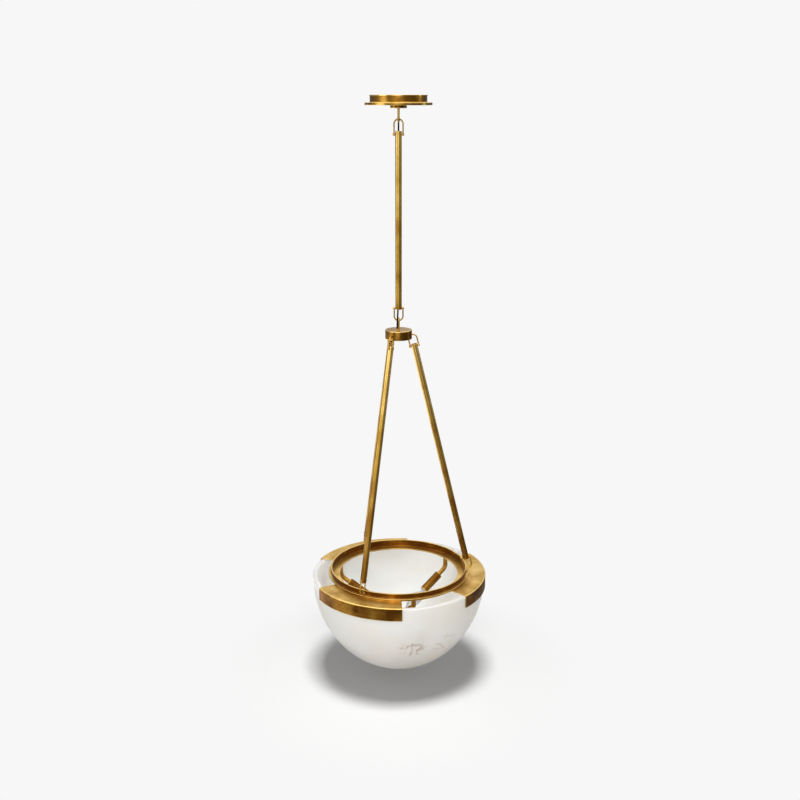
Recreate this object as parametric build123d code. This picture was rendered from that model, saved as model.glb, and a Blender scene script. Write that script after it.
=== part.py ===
from build123d import *
import os
from math import asin, cos, degrees, radians, sin, sqrt, tan

# Alabaster bowl chandelier, in millimetres.
# The origin is the middle of the ceiling face, +Z points up and everything hangs below.
# +X points along the first hanger rod.

# Fits
pin_clearance = 0.05      # radial room of a pin or stud in its hole
link_gap = 0.3            # room between two hooked wires
side_gap = 0.3            # room between fixed neighbours that do not bear on each other
tolerance = 0.01          # how close two sizes are when an edge is looked up
cut_past = 1.0            # how far a cut runs past the face that it opens

# Canopy
drum_radius = 69.0
drum_height = 17.5
lip_width = 1.0
lip_height = 2.5
canopy_wall = 1.6
canopy_floor = 2.4
flange_width = 12.5
flange_thickness = 6.4
cove_radius = 2.0
flange_round = 1.2

# Mounting strap, nipple and collar that hold the canopy up
strap_length = 120.0
strap_width = 40.0
strap_thickness = 3.0
strap_corner = 8.0
slot_spacing = 88.9
slot_length = 14.0
slot_width = 5.2
nipple_radius = 5.0
lock_nut_flats = 17.0
lock_nut_height = 5.0
collar_radius = 20.0
collar_height = 7.0
collar_round = 0.8
collar_socket_depth = 5.0

# Loops on the collar and on the hub
loop_wire_radius = 2.8
loop_half_width = 8.2
loop_corner_radius = 5.6
canopy_loop_drop = 30.4
hub_loop_height = 28.2

# Shackles and their cross pins
wire_radius = 1.8
leg_spacing = 21.8
eye_radius = 3.4
eye_thickness = 4.2
pin_radius = 1.75
pin_head_radius = 2.6
pin_head_height = 0.9
upper_shackle_length = 35.8
lower_shackle_length = 31.5
rod_shackle_length = 29.5
foot_shackle_length = 32.0

# Stem and hanger rods, all cut from one tube
tube_radius = 8.0
tube_wall = 1.25
stem_length = 436.0
stem_top_margin = 8.0
stem_foot_margin = 3.2
rod_pin_span = 594.0
rod_end_margin = 4.5
rod_count = 3

# Hub
hub_radius = 33.8
hub_height = 23.0
hub_wall = 2.5
hub_top = 3.0
hub_floor = 2.5
hub_round = 0.8
hub_nut_flats = 8.0
hub_nut_height = 4.0
rod_pin_outboard = 6.4
rod_pin_below_hub = 18.3
shackle_hole_radius = 2.6

# Supply cord, its bushes and terminal blocks
cord_radius = 2.05
cord_offset = 15.0        # distance of both bushes from the axis
cord_side_step = -3.4     # the hub bush stands a little to the left
cord_stem_step = -1.6     # the cord's own lean to the left at the stem's foot
cord_pass = 4.1           # distance from the axis where the cord passes a cross pin
cord_mouth = 8.0          # height of the corner outside each end of the stem
cord_past_pin = 14.0      # length of cord kept straight inside each end of the stem
cord_turn_past_bar = 4.2  # height of the cord's turn beside each loop, from its bar
bend_share = 0.45         # part of a run that each of its two corners may take for an arc
bush_clearance = 0.1
bush_wall = 1.1
bush_flange = 1.2
canopy_bush_stand = 1.0
hub_bush_stand = 5.0
terminal_length = 20.0
terminal_width = 13.0
terminal_height = 7.5
hub_terminal_width = 8.0
hub_terminal_length = 13.0

# Ring
band_radius = 180.5
band_wall = 3.0
band_height = 20.5
band_hole_radius = 4.2
band_hole_depth = 6.4
band_hole_rise = 0.4      # the hole stands above the hook, room for the ring's turn
inner_flange_width = 23.5
outer_flange_width = 6.5
outer_flange_thickness = 4.0
inner_flange_thickness = 2.5
outer_flange_drop = 12.5

# Rim caps
cap_radius = 231.8
cap_plate = 2.5
cap_skirt_wall = 2.2
cap_skirt_height = 34.0
cap_round = 2.0
cap_arcs = ((-42.0, 31.0), (84.0, 158.0), (207.4, 272.3))

# Bowl
bowl_clearance = 0.4
bowl_depth = 259.0
bowl_wall = 12.0
bowl_steps = 9            # points that the bowl's curve passes through
pad_thickness = 1.0
pad_width = 10.0

# Lamps
lamp_angles = (37.5, 165.0, 283.5)
lamp_tilt = 32.0
arm_radius = 5.9
arm_wall = 1.0
arm_inset = 6.0           # from the inner flange's edge to the arm's middle
arm_drop = 28.5
arm_reach = 28.3
arm_bend = 20.0
sleeve_radius = 10.8
sleeve_wall = 1.2
sleeve_length = 62.0
sleeve_cap = 2.0
holder_length = 40.0
holder_bore_depth = 24.0
bulb_base_radius = 5.9
bulb_base_length = 25.0
bulb_radius = 16.0
bulb_length = 78.0
bulb_neck = 6.4
bulb_tip = 2.0
bulb_belly = 28.0

# Heights worked out from the ceiling down
flange_foot_z = -(drum_height + flange_thickness)
collar_foot_z = flange_foot_z - collar_height
hook_step = loop_wire_radius + link_gap + wire_radius
canopy_loop_z = collar_foot_z - canopy_loop_drop
upper_bend_z = canopy_loop_z + hook_step
upper_pin_z = upper_bend_z - upper_shackle_length
stem_top_z = upper_pin_z + stem_top_margin
stem_foot_z = stem_top_z - stem_length
lower_pin_z = stem_foot_z + stem_foot_margin
lower_bend_z = lower_pin_z - lower_shackle_length
hub_loop_z = lower_bend_z + hook_step
hub_top_z = hub_loop_z - hub_loop_height
hub_foot_z = hub_top_z - hub_height

# Hanger rods lean out from the hub to the middle of the ring's band
half_legs = leg_spacing / 2
band_middle = band_radius - band_wall / 2
rod_pin_top_r = hub_radius + rod_pin_outboard
rod_pin_top_z = hub_foot_z - rod_pin_below_hub
rod_lean = asin((band_middle - rod_pin_top_r) / rod_pin_span)
rod_pin_foot_z = rod_pin_top_z - rod_pin_span * cos(rod_lean)

# The lower rod shackle's bend crosses the band, and the ring hangs at that height
foot_bend_r = band_middle + (foot_shackle_length - half_legs) * sin(rod_lean)
foot_bend_z = rod_pin_foot_z - (foot_shackle_length - half_legs) * cos(rod_lean)
band_hole_z = foot_bend_z - sqrt(half_legs**2 - (foot_bend_r - band_middle) ** 2)
band_top_z = band_hole_z + band_hole_depth
band_foot_z = band_top_z - band_height
outer_flange_z = band_top_z - outer_flange_drop
cap_top_z = outer_flange_z - outer_flange_thickness
cap_plate_foot_z = cap_top_z - cap_plate
rim_z = cap_plate_foot_z - pad_thickness
bowl_radius = cap_radius - cap_skirt_wall - bowl_clearance

tube_bore = tube_radius - tube_wall
rod_angles = [index * 360.0 / rod_count for index in range(rod_count)]
PARTS = {}


def disc(radius, top_z, foot_z, x=0.0, y=0.0):
    """An upright round bar between two heights."""
    bar = Cylinder(radius, top_z - foot_z)
    return Pos(x, y, (top_z + foot_z) / 2) * bar


def block(x_low, x_high, y_low, y_high, z_low, z_high):
    """A box between two corners."""
    size = Box(x_high - x_low, y_high - y_low, z_high - z_low)
    return Pos((x_low + x_high) / 2, (y_low + y_high) / 2, (z_low + z_high) / 2) * size


def cross_bar(radius, length):
    """A round bar along X, centred on the origin."""
    return Rot(0, 90, 0) * Cylinder(radius, length)


def turned(points):
    """A ring turned about the Z axis from an outline of radius and height pairs."""
    outline = Polyline([(r, 0, z) for r, z in points], close=True)
    return revolve(make_face(outline), Axis.Z)


def circles_at(solid, radius, height=None):
    """The round edges of one radius, all of them or those at one height."""
    found = []
    for edge in solid.edges().filter_by(GeomType.CIRCLE):
        if abs(edge.radius - radius) > tolerance:
            continue
        if height is None or abs(edge.center().Z - height) < tolerance:
            found.append(edge)
    return found


def hex_nut(flats, height, bore, top_z, x=0.0, y=0.0):
    """A hexagon nut under a plate, with its bore along Z."""
    hexagon = RegularPolygon(flats / 2, 6, major_radius=False)
    nut = extrude(hexagon, height) - Cylinder(bore, 3 * height)
    return Pos(x, y, top_z - height) * nut


def bent_wire(radius, points, bends):
    """A round wire along straight runs joined by arcs."""
    path = FilletPolyline(*points, radius=bends)
    start = Plane(origin=points[0], z_dir=path % 0)
    return sweep(start * Circle(radius), path)


def around(angle, solid):
    """A solid turned about the object's axis."""
    return Rot(0, 0, angle) * solid


# Shackle: a wire U in the XZ plane, pin along X through the origin, bend towards +Z
def shackle(length):
    spring_line = length - half_legs
    left_leg = Line((-half_legs, 0, 0), (-half_legs, 0, spring_line))
    bend = ThreePointArc((-half_legs, 0, spring_line), (0, 0, length), (half_legs, 0, spring_line))
    right_leg = Line((half_legs, 0, spring_line), (half_legs, 0, 0))
    path = Wire([left_leg, bend, right_leg])
    wire = sweep(Plane((-half_legs, 0, 0)) * Circle(wire_radius), path)
    eyes = [Pos(side * half_legs, 0, 0) * cross_bar(eye_radius, eye_thickness) for side in (-1, 1)]
    body = wire + eyes[0] + eyes[1]
    return body - cross_bar(pin_radius + pin_clearance, 2 * leg_spacing)


# Cross pin: a rivet through both eyes of a shackle and the tube between them
def cross_pin():
    reach = half_legs + eye_thickness / 2
    shank = cross_bar(pin_radius, 2 * reach)
    for side in (-1, 1):
        head = Pos(side * (reach + pin_head_height / 2), 0, 0) * cross_bar(pin_head_radius, pin_head_height)
        shank += head
    return shank


# Loop: a stout U in the YZ plane, legs going up from a straight bar through the origin
def loop(leg_length):
    corners = [
        (0, -loop_half_width, leg_length),
        (0, -loop_half_width, 0),
        (0, loop_half_width, 0),
        (0, loop_half_width, leg_length),
    ]
    return bent_wire(loop_wire_radius, corners, loop_corner_radius)


# Tube with a cross pin hole near each end
def pinned_tube(top_z, foot_z, pin_heights):
    tube = disc(tube_radius, top_z, foot_z) - disc(tube_bore, top_z + cut_past, foot_z - cut_past)
    for pin_z in pin_heights:
        tube -= Pos(0, 0, pin_z) * cross_bar(pin_radius + pin_clearance, 4 * tube_radius)
    return tube


# Canopy: spun drum with a lip, a cove and a flange, open to the ceiling
canopy_floor_z = flange_foot_z + canopy_floor
flange_radius = drum_radius + flange_width
bush_radius = cord_radius + bush_clearance + bush_wall
shell = turned(
    [
        (drum_radius - canopy_wall, 0),
        (drum_radius + lip_width, 0),
        (drum_radius + lip_width, -lip_height),
        (drum_radius, -lip_height),
        (drum_radius, -drum_height),
        (flange_radius, -drum_height),
        (flange_radius, flange_foot_z),
        (0, flange_foot_z),
        (0, canopy_floor_z),
        (drum_radius - canopy_wall, canopy_floor_z),
    ]
)
shell = fillet(circles_at(shell, drum_radius, -drum_height), cove_radius)
shell = fillet(circles_at(shell, flange_radius), flange_round)
shell -= disc(nipple_radius + side_gap, 0, flange_foot_z - cut_past)
shell -= disc(bush_radius + pin_clearance, 0, flange_foot_z - cut_past, 0, cord_offset)
PARTS["canopy"] = shell

# Mounting strap: screwed to the ceiling box through its two slots
strap_face = RectangleRounded(strap_length, strap_width, strap_corner)
slot_face = SlotOverall(slot_length, slot_width)
strap_face -= Circle(nipple_radius + pin_clearance)
strap_face -= [Pos(side * slot_spacing / 2, 0) * slot_face for side in (-1, 1)]
PARTS["mounting_strap"] = extrude(strap_face, -strap_thickness)

# Nipple and lock nut: the stud that carries the whole light
nipple_foot_z = flange_foot_z - collar_socket_depth
PARTS["nipple"] = disc(nipple_radius, 0, nipple_foot_z)
PARTS["lock_nut"] = hex_nut(lock_nut_flats, lock_nut_height, nipple_radius + pin_clearance, -strap_thickness)

# Collar: screwed on the nipple, it presses the canopy to the ceiling and holds the loop
collar = disc(collar_radius, flange_foot_z, collar_foot_z)
collar = fillet(collar.edges().group_by(Axis.Z)[0], collar_round)
collar -= disc(nipple_radius + pin_clearance, flange_foot_z + cut_past, nipple_foot_z)
collar_cut_z = collar_foot_z - cut_past
collar -= disc(bush_radius + pin_clearance, flange_foot_z + cut_past, collar_cut_z, 0, cord_offset)
loop_hole = loop_wire_radius + pin_clearance
socket_top_z = collar_foot_z + collar_socket_depth
for side in (-1, 1):
    collar -= disc(loop_hole, socket_top_z, collar_cut_z, 0, side * loop_half_width)
PARTS["collar"] = collar
PARTS["canopy_loop"] = Pos(0, 0, canopy_loop_z) * loop(canopy_loop_drop + collar_socket_depth)

# Canopy cord bush: a turned sleeve through the collar and the canopy floor
cord_hole = cord_radius + bush_clearance
bush_foot_z = collar_foot_z - canopy_bush_stand
bush = disc(bush_radius, canopy_floor_z, bush_foot_z, 0, cord_offset)
bush += disc(bush_radius + bush_flange, canopy_floor_z + bush_flange, canopy_floor_z, 0, cord_offset)
PARTS["canopy_cord_bush"] = bush - disc(cord_hole, 0, bush_foot_z - cut_past, 0, cord_offset)

# Canopy terminal block: hangs under the strap above the cord bush
canopy_terminal_z = -strap_thickness - terminal_height
terminal_middle = cord_offset + terminal_width / 2 - cord_radius - bush_wall
PARTS["canopy_terminal_block"] = block(
    -terminal_length / 2,
    terminal_length / 2,
    terminal_middle - terminal_width / 2,
    terminal_middle + terminal_width / 2,
    canopy_terminal_z,
    -strap_thickness,
)

# Upper shackle, its pin, the stem, and the lower shackle with its pin
PARTS["upper_shackle"] = Pos(0, 0, upper_pin_z) * shackle(upper_shackle_length)
PARTS["upper_pin"] = Pos(0, 0, upper_pin_z) * cross_pin()
PARTS["stem"] = pinned_tube(stem_top_z, stem_foot_z, (upper_pin_z, lower_pin_z))
PARTS["lower_shackle"] = Pos(0, 0, lower_pin_z) * Rot(180, 0, 0) * shackle(lower_shackle_length)
PARTS["lower_pin"] = Pos(0, 0, lower_pin_z) * cross_pin()

# Hub: a drum open below, with a loop on top and three side holes for the rod shackles
hub_bore = hub_radius - hub_wall
hub_ceiling_z = hub_top_z - hub_top
hub = turned(
    [
        (0, hub_top_z),
        (hub_radius, hub_top_z),
        (hub_radius, hub_foot_z),
        (hub_bore, hub_foot_z),
        (hub_bore, hub_ceiling_z),
        (0, hub_ceiling_z),
    ]
)
hub = fillet(circles_at(hub, hub_radius), hub_round)
above_hub, below_ceiling = hub_top_z + cut_past, hub_ceiling_z - cut_past
for side in (-1, 1):
    hub -= disc(loop_hole, above_hub, below_ceiling, 0, side * loop_half_width)
hub -= disc(bush_radius + pin_clearance, above_hub, below_ceiling, cord_side_step, -cord_offset)

# Each rod shackle stands in its rod's radial plane and leans with the rod
top_bend_r = rod_pin_top_r - (rod_shackle_length - half_legs) * sin(rod_lean)
top_bend_z = rod_pin_top_z + (rod_shackle_length - half_legs) * cos(rod_lean)
wall_middle = hub_radius - hub_wall / 2
hub_hole_z = top_bend_z + sqrt(half_legs**2 - (top_bend_r - wall_middle) ** 2)
for angle in rod_angles:
    hub -= around(angle, Pos(wall_middle, 0, hub_hole_z) * cross_bar(shackle_hole_radius, 4 * hub_wall))
PARTS["hub"] = hub

# Hub loop, standing on the hub, with a nut on each leg inside
hub_leg = hub_loop_height + hub_top + hub_nut_height
PARTS["hub_loop"] = Pos(0, 0, hub_loop_z) * Rot(180, 0, 0) * loop(hub_leg)
nuts = [
    hex_nut(hub_nut_flats, hub_nut_height, loop_hole, hub_ceiling_z, 0, side * loop_half_width)
    for side in (-1, 1)
]
PARTS["hub_loop_nuts"] = Compound(children=nuts)

# Hub floor: a disc inside the hub's foot, notched where the rod shackles come through
floor_top_z = hub_foot_z + hub_floor
floor_plate = disc(hub_bore - pin_clearance, floor_top_z, hub_foot_z)
notch_start = top_bend_r - half_legs * cos(rod_lean) - 2 * wire_radius - link_gap
half_notch = wire_radius + 2 * link_gap
notch = block(notch_start, hub_radius, -half_notch, half_notch, hub_foot_z - cut_past, floor_top_z + cut_past)
for angle in rod_angles:
    floor_plate -= around(angle, notch)
PARTS["hub_floor"] = floor_plate

# Hub cord bush and the terminal block on the hub floor
hub_bush_top_z = hub_top_z + hub_bush_stand
hub_bush = disc(bush_radius, hub_bush_top_z, hub_ceiling_z, cord_side_step, -cord_offset)
hub_bush += disc(bush_radius + bush_flange, hub_top_z + bush_flange, hub_top_z, cord_side_step, -cord_offset)
hub_bush -= disc(cord_hole, hub_bush_top_z + cut_past, below_ceiling, cord_side_step, -cord_offset)
PARTS["hub_cord_bush"] = hub_bush
hub_terminal_z = floor_top_z + terminal_height
PARTS["hub_terminal_block"] = block(
    cord_side_step - hub_terminal_length / 2,
    cord_side_step + hub_terminal_length / 2,
    -cord_offset - hub_terminal_width / 2,
    -cord_offset + hub_terminal_width / 2,
    floor_top_z,
    hub_terminal_z,
)

# Supply cord: from the canopy's terminal block, behind the upper loop, past both pins
# inside the stem, in front of the lower loop and into the hub
cord_points = [
    (0, cord_offset, canopy_terminal_z),
    (0, cord_offset, canopy_loop_z + cord_turn_past_bar),
    (0, cord_pass, stem_top_z + cord_mouth),
    (0, cord_pass, upper_pin_z - cord_past_pin),
    (cord_stem_step, -cord_pass, lower_pin_z + cord_past_pin),
    (cord_stem_step, -cord_pass, stem_foot_z - cord_mouth),
    (cord_side_step, -cord_offset, hub_loop_z - cord_turn_past_bar),
    (cord_side_step, -cord_offset, hub_terminal_z),
]


def cord_bends(points):
    """The largest arc that each corner's two runs leave room for."""
    radii = []
    for before, corner, after in zip(points, points[1:], points[2:]):
        first = Vector(*corner) - Vector(*before)
        second = Vector(*after) - Vector(*corner)
        half_turn = radians(first.get_angle(second)) / 2
        radii.append(bend_share * min(first.length, second.length) / tan(half_turn))
    return radii


bends = cord_bends(cord_points)
PARTS["supply_cord"] = bent_wire(cord_radius, cord_points, bends)
print("cord bend radii", [round(radius, 1) for radius in bends])

# Rods with their shackles and pins, in the plane of the first rod and turned to each angle
rod_top_place = Pos(rod_pin_top_r, 0, rod_pin_top_z) * Rot(0, -degrees(rod_lean), 0)
rod_foot_place = Pos(band_middle, 0, rod_pin_foot_z) * Rot(0, -degrees(rod_lean), 0)
for number, angle in enumerate(rod_angles, start=1):
    rod = pinned_tube(rod_end_margin, -rod_pin_span - rod_end_margin, (0, -rod_pin_span))
    PARTS[f"rod_{number}"] = around(angle, rod_top_place * rod)
    PARTS[f"rod_{number}_top_shackle"] = around(angle, rod_top_place * shackle(rod_shackle_length))
    PARTS[f"rod_{number}_top_pin"] = around(angle, rod_top_place * cross_pin())
    foot_shackle = Rot(180, 0, 0) * shackle(foot_shackle_length)
    PARTS[f"rod_{number}_foot_shackle"] = around(angle, rod_foot_place * foot_shackle)
    PARTS[f"rod_{number}_foot_pin"] = around(angle, rod_foot_place * cross_pin())

# Ring: an upright band with a wide flange inside its foot and a narrow one outside
band_bore = band_radius - band_wall
inner_edge = band_radius - inner_flange_width
outer_edge = band_radius + outer_flange_width
ring = turned(
    [
        (band_bore, band_top_z),
        (band_radius, band_top_z),
        (band_radius, outer_flange_z),
        (outer_edge, outer_flange_z),
        (outer_edge, cap_top_z),
        (band_radius, cap_top_z),
        (band_radius, band_foot_z),
        (inner_edge, band_foot_z),
        (inner_edge, band_foot_z + inner_flange_thickness),
        (band_bore, band_foot_z + inner_flange_thickness),
    ]
)
hook_hole = Pos(band_middle, 0, band_hole_z + band_hole_rise) * cross_bar(band_hole_radius, 6 * band_wall)
for angle in rod_angles:
    ring -= around(angle, hook_hole)
PARTS["ring"] = ring

# Rim caps: a flat plate brazed under the outer flange, with a skirt down the outside of the bowl
cap_bore = cap_radius - cap_skirt_wall
cap_outline = [
    (band_radius + side_gap, cap_top_z),
    (cap_radius, cap_top_z),
    (cap_radius, cap_top_z - cap_skirt_height),
    (cap_bore, cap_top_z - cap_skirt_height),
    (cap_bore, cap_plate_foot_z),
    (band_radius + side_gap, cap_plate_foot_z),
]


def sector(points, start, end):
    """Part of a turned ring between two angles."""
    outline = Polyline([(r, 0, z) for r, z in points], close=True)
    piece = revolve(make_face(outline), Axis.Z, revolution_arc=end - start)
    return around(start, piece)


# Seat pads lie between the caps and the bowl's rim
pad_outline = [
    (bowl_radius - pad_width, cap_plate_foot_z),
    (bowl_radius, cap_plate_foot_z),
    (bowl_radius, rim_z),
    (bowl_radius - pad_width, rim_z),
]
for number, (start, end) in enumerate(cap_arcs, start=1):
    cap = sector(cap_outline, start, end)
    PARTS[f"rim_cap_{number}"] = fillet(circles_at(cap, cap_radius, cap_top_z), cap_round)
    PARTS[f"rim_pad_{number}"] = sector(pad_outline, start, end)


# Bowl: a half ellipsoid carved from one block of alabaster
def half_ellipsoid(radius, depth):
    """The lower half of a round ellipsoid, hanging from the origin."""
    turns = [radians(90.0 * step / bowl_steps) for step in range(bowl_steps + 1)]
    points = [(radius * cos(turn), 0, -depth * sin(turn)) for turn in turns]
    rim, foot = points[0], (0, 0, -depth)
    curve = Spline(points[:-1] + [foot], tangents=[(0, 0, -1), (-1, 0, 0)])
    outline = [Line((0, 0, 0), rim), curve, Line(foot, (0, 0, 0))]
    return revolve(make_face(outline), Axis.Z)


bowl = half_ellipsoid(bowl_radius, bowl_depth)
bowl -= half_ellipsoid(bowl_radius - bowl_wall, bowl_depth - bowl_wall)
PARTS["bowl"] = Pos(0, 0, rim_z) * bowl

# Lamps: a bent arm under the inner flange, a brass sleeve, a holder in it and a candle bulb
arm_top = Vector(inner_edge + arm_inset, 0, band_foot_z)
arm_corner = arm_top - Vector(0, 0, arm_drop)
lamp_way = Vector(-cos(radians(lamp_tilt)), 0, -sin(radians(lamp_tilt)))
sleeve_start = arm_corner + lamp_way * arm_reach
arm_end = sleeve_start + lamp_way * sleeve_cap
arm_points = [tuple(arm_top), tuple(arm_corner), tuple(arm_end)]
arm = bent_wire(arm_radius, arm_points, arm_bend) - bent_wire(arm_radius - arm_wall, arm_points, arm_bend)

# Parts on the lamp's own axis stand along local +Z from the sleeve's closed end
lamp_place = Location(Plane(origin=sleeve_start, x_dir=(0, 1, 0), z_dir=lamp_way))
sleeve = disc(sleeve_radius, sleeve_length, 0)
sleeve -= disc(sleeve_radius - sleeve_wall, sleeve_length + cut_past, sleeve_cap)
sleeve -= disc(arm_radius + pin_clearance, sleeve_cap + cut_past, -cut_past)
holder_foot = sleeve_length - holder_length
holder = disc(sleeve_radius - sleeve_wall - pin_clearance, sleeve_length, holder_foot)
base_foot = sleeve_length - holder_bore_depth
holder -= disc(bulb_base_radius + pin_clearance, sleeve_length + cut_past, base_foot)
glass_foot = base_foot + bulb_base_length
base = disc(bulb_base_radius, glass_foot, base_foot)
glass_top = glass_foot + bulb_length
glass_side = Spline(
    (bulb_neck, 0, glass_foot + bulb_neck),
    (bulb_radius, 0, glass_foot + bulb_belly),
    (bulb_tip, 0, glass_top - bulb_tip),
)
glass_outline = [
    Line((0, 0, glass_foot), (bulb_neck, 0, glass_foot)),
    Line((bulb_neck, 0, glass_foot), (bulb_neck, 0, glass_foot + bulb_neck)),
    glass_side,
    Line((bulb_tip, 0, glass_top - bulb_tip), (0, 0, glass_top)),
    Line((0, 0, glass_top), (0, 0, glass_foot)),
]
glass = revolve(make_face(glass_outline), Axis.Z)
for number, angle in enumerate(lamp_angles, start=1):
    PARTS[f"lamp_{number}_arm"] = around(angle, arm)
    PARTS[f"lamp_{number}_sleeve"] = around(angle, lamp_place * sleeve)
    PARTS[f"lamp_{number}_holder"] = around(angle, lamp_place * holder)
    PARTS[f"lamp_{number}_base"] = around(angle, lamp_place * base)
    PARTS[f"lamp_{number}_bulb"] = around(angle, lamp_place * glass)

os.makedirs("parts", exist_ok=True)
for name, solid in PARTS.items():
    export_step(solid, f"parts/{name}.step")

print("canopy loop bar", round(canopy_loop_z, 3), "upper pin", round(upper_pin_z, 3))
print("lower pin", round(lower_pin_z, 3), "hub loop bar", round(hub_loop_z, 3))
print("rod pin top", round(rod_pin_top_r, 3), round(rod_pin_top_z, 3), "lean", round(degrees(rod_lean), 3))
print("rod pin foot", round(band_middle, 3), round(rod_pin_foot_z, 3), "hook", round(band_hole_z, 3))
print("band top", round(band_top_z, 3), "cap top", round(cap_top_z, 3), "rim", round(rim_z, 3))
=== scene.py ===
from math import acos, cos, degrees, pi, radians, sin, sqrt, tan

import bmesh
import bpy
from mathutils import Matrix, Vector


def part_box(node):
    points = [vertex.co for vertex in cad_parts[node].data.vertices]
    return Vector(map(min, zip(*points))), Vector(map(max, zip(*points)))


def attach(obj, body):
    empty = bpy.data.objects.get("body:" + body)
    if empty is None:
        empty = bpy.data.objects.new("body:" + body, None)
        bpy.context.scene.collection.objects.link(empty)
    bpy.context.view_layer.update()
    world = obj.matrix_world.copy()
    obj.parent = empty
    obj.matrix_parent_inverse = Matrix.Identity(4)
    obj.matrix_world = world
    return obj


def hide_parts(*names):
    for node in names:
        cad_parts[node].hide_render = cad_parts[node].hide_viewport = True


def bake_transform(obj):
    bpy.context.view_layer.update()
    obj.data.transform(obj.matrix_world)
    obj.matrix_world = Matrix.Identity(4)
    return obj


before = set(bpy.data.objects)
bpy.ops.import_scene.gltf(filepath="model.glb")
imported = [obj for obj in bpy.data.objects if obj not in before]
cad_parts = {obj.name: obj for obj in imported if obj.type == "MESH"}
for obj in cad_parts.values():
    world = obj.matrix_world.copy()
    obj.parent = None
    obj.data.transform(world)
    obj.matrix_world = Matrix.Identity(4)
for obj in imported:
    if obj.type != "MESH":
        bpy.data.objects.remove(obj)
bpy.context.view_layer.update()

# Canopy
# A shallow drum spun from brass sheet, with a small lip at the ceiling and a wide flat flange at its foot.
# The brass is chemically aged to brown, then rubbed back, so its edges are bright again with a painted edge
# highlight, and its upward faces are painted lighter, a painted highlight from above.
mm = 0.001
usual_crease = 32.0
round_crease = 60.0
drum_bore = 67.4
drum_radius = 69.0
lip_radius = 70.0
flange_radius = 81.5
nipple_hole = 5.4
lip_foot = -2.5
flange_top = -17.5
floor_inside = -21.5
flange_foot = -23.9


def levels(node):
    """The lowest and the highest point of a solid, in millimetres."""
    low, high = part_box(node)
    return low.z / mm, high.z / mm


def rounded(corners, wear_and_highlight, reach=1.4, steps=5, longest_run=0.45):
    """A closed outline of radius and height pairs, in millimetres, with each corner's own round made an arc.
    Each point says how far the finish is rubbed off there, with its painted edge highlight, from 0 on a face
    to the given amount on an outer edge.
    A round takes at most longest_run of a side, and the rubbing and its painted highlight end reach
    millimetres past it."""
    ahead_of = corners[1:] + corners[:1]
    area = sum(a[0] * b[1] - b[0] * a[1] for a, b in zip(corners, ahead_of))
    outline = []
    for index, (radius, height, round_size) in enumerate(corners):
        here = Vector((radius, height))
        back = Vector(corners[index - 1][:2]) - here
        ahead = Vector(ahead_of[index][:2]) - here
        if round_size <= 0:
            outline.append((radius, height, 0.0))
            continue
        bend = back.x * ahead.y - back.y * ahead.x
        rubbed_and_highlight = wear_and_highlight if bend * area < 0 else 0.0
        half = back.angle(ahead) / 2
        run = min(round_size / tan(half), longest_run * back.length, longest_run * ahead.length)
        centre = here + (back.normalized() + ahead.normalized()).normalized() * run / cos(half)
        first = here + back.normalized() * run - centre
        last = here + ahead.normalized() * run - centre
        sweep = first.angle(last)
        if back.length > 2 * (run + reach):
            point = here + back.normalized() * (run + reach)
            outline.append((point.x, point.y, 0.0))
        for step in range(steps + 1):
            share = step / steps
            spoke = (first * sin((1 - share) * sweep) + last * sin(share * sweep)) / sin(sweep)
            outline.append((centre.x + spoke.x, centre.y + spoke.y, rubbed_and_highlight))
        if ahead.length > 2 * (run + reach):
            point = here + ahead.normalized() * (run + reach)
            outline.append((point.x, point.y, 0.0))
    return outline


def skin(rings, count, whole=False):
    """Faces between rings of count points. The last ring joins the first, or else both ends are closed."""
    faces = []
    for ring in range(rings if whole else rings - 1):
        here, there = ring * count, (ring + 1) % rings * count
        for spot in range(count):
            beside = (spot + 1) % count
            faces.append((here + spot, here + beside, there + beside, there + spot))
    if not whole:
        faces.append(tuple(range(count)))
        faces.append(tuple(range((rings - 1) * count, rings * count)))
    return faces


def turned(corners, segments=96, start=0.0, sweep=360.0, wear_and_highlight=1.0, end_strip=1.6, end_wear_and_highlight=0.8):
    """A form turned about Z from an outline, whole or as a sector with closed ends.
    A sector's ends are rubbed, with a painted edge highlight, by the given end amount over a strip of
    end_strip millimetres."""
    outline = rounded(corners, wear_and_highlight)
    whole = sweep >= 360.0
    angles = [start + sweep * step / segments for step in range(segments if whole else segments + 1)]
    if not whole:
        strip = degrees(end_strip / max(point[0] for point in outline))
        angles = [start, start + strip] + angles[1:-1] + [start + sweep - strip, start + sweep]
    points, rubs_and_highlights = [], []
    for order, angle in enumerate(angles):
        at_end = not whole and order in (0, len(angles) - 1)
        for radius, height, rub_and_highlight in outline:
            points.append(Vector((radius * cos(radians(angle)), radius * sin(radians(angle)), height)))
            rubs_and_highlights.append(max(rub_and_highlight, end_wear_and_highlight) if at_end else rub_and_highlight)
    return points, skin(len(angles), len(outline), whole), rubs_and_highlights


def moved(form, place):
    """The same form under a 4 by 4 matrix."""
    points, faces, rubs_and_highlights = form
    return [place @ point for point in points], faces, rubs_and_highlights


def solid_mesh(name, forms, same_place=1e-6):
    """One clean mesh of the forms, in metres, with its faces turned outwards.
    Points that are no more than same_place metres apart become one."""
    points, faces, rubs_and_highlights = [], [], []
    for form_points, form_faces, form_rubs_and_highlights in forms:
        base = len(points)
        points += [tuple(point * mm) for point in form_points]
        faces += [tuple(base + corner for corner in face) for face in form_faces]
        rubs_and_highlights += form_rubs_and_highlights
    mesh = bpy.data.meshes.new(name)
    mesh.from_pydata(points, [], faces)
    # Each point's rubbing, which brass shows as wear together with a painted edge highlight
    rub_and_highlight_layer = mesh.attributes.new("rubbed_and_highlight", "FLOAT", "POINT")
    rub_and_highlight_layer.data.foreach_set("value", rubs_and_highlights)
    work = bmesh.new()
    work.from_mesh(mesh)
    bmesh.ops.remove_doubles(work, verts=work.verts, dist=same_place)
    bmesh.ops.recalc_face_normals(work, faces=work.faces)
    work.to_mesh(mesh)
    work.free()
    return mesh


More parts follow.
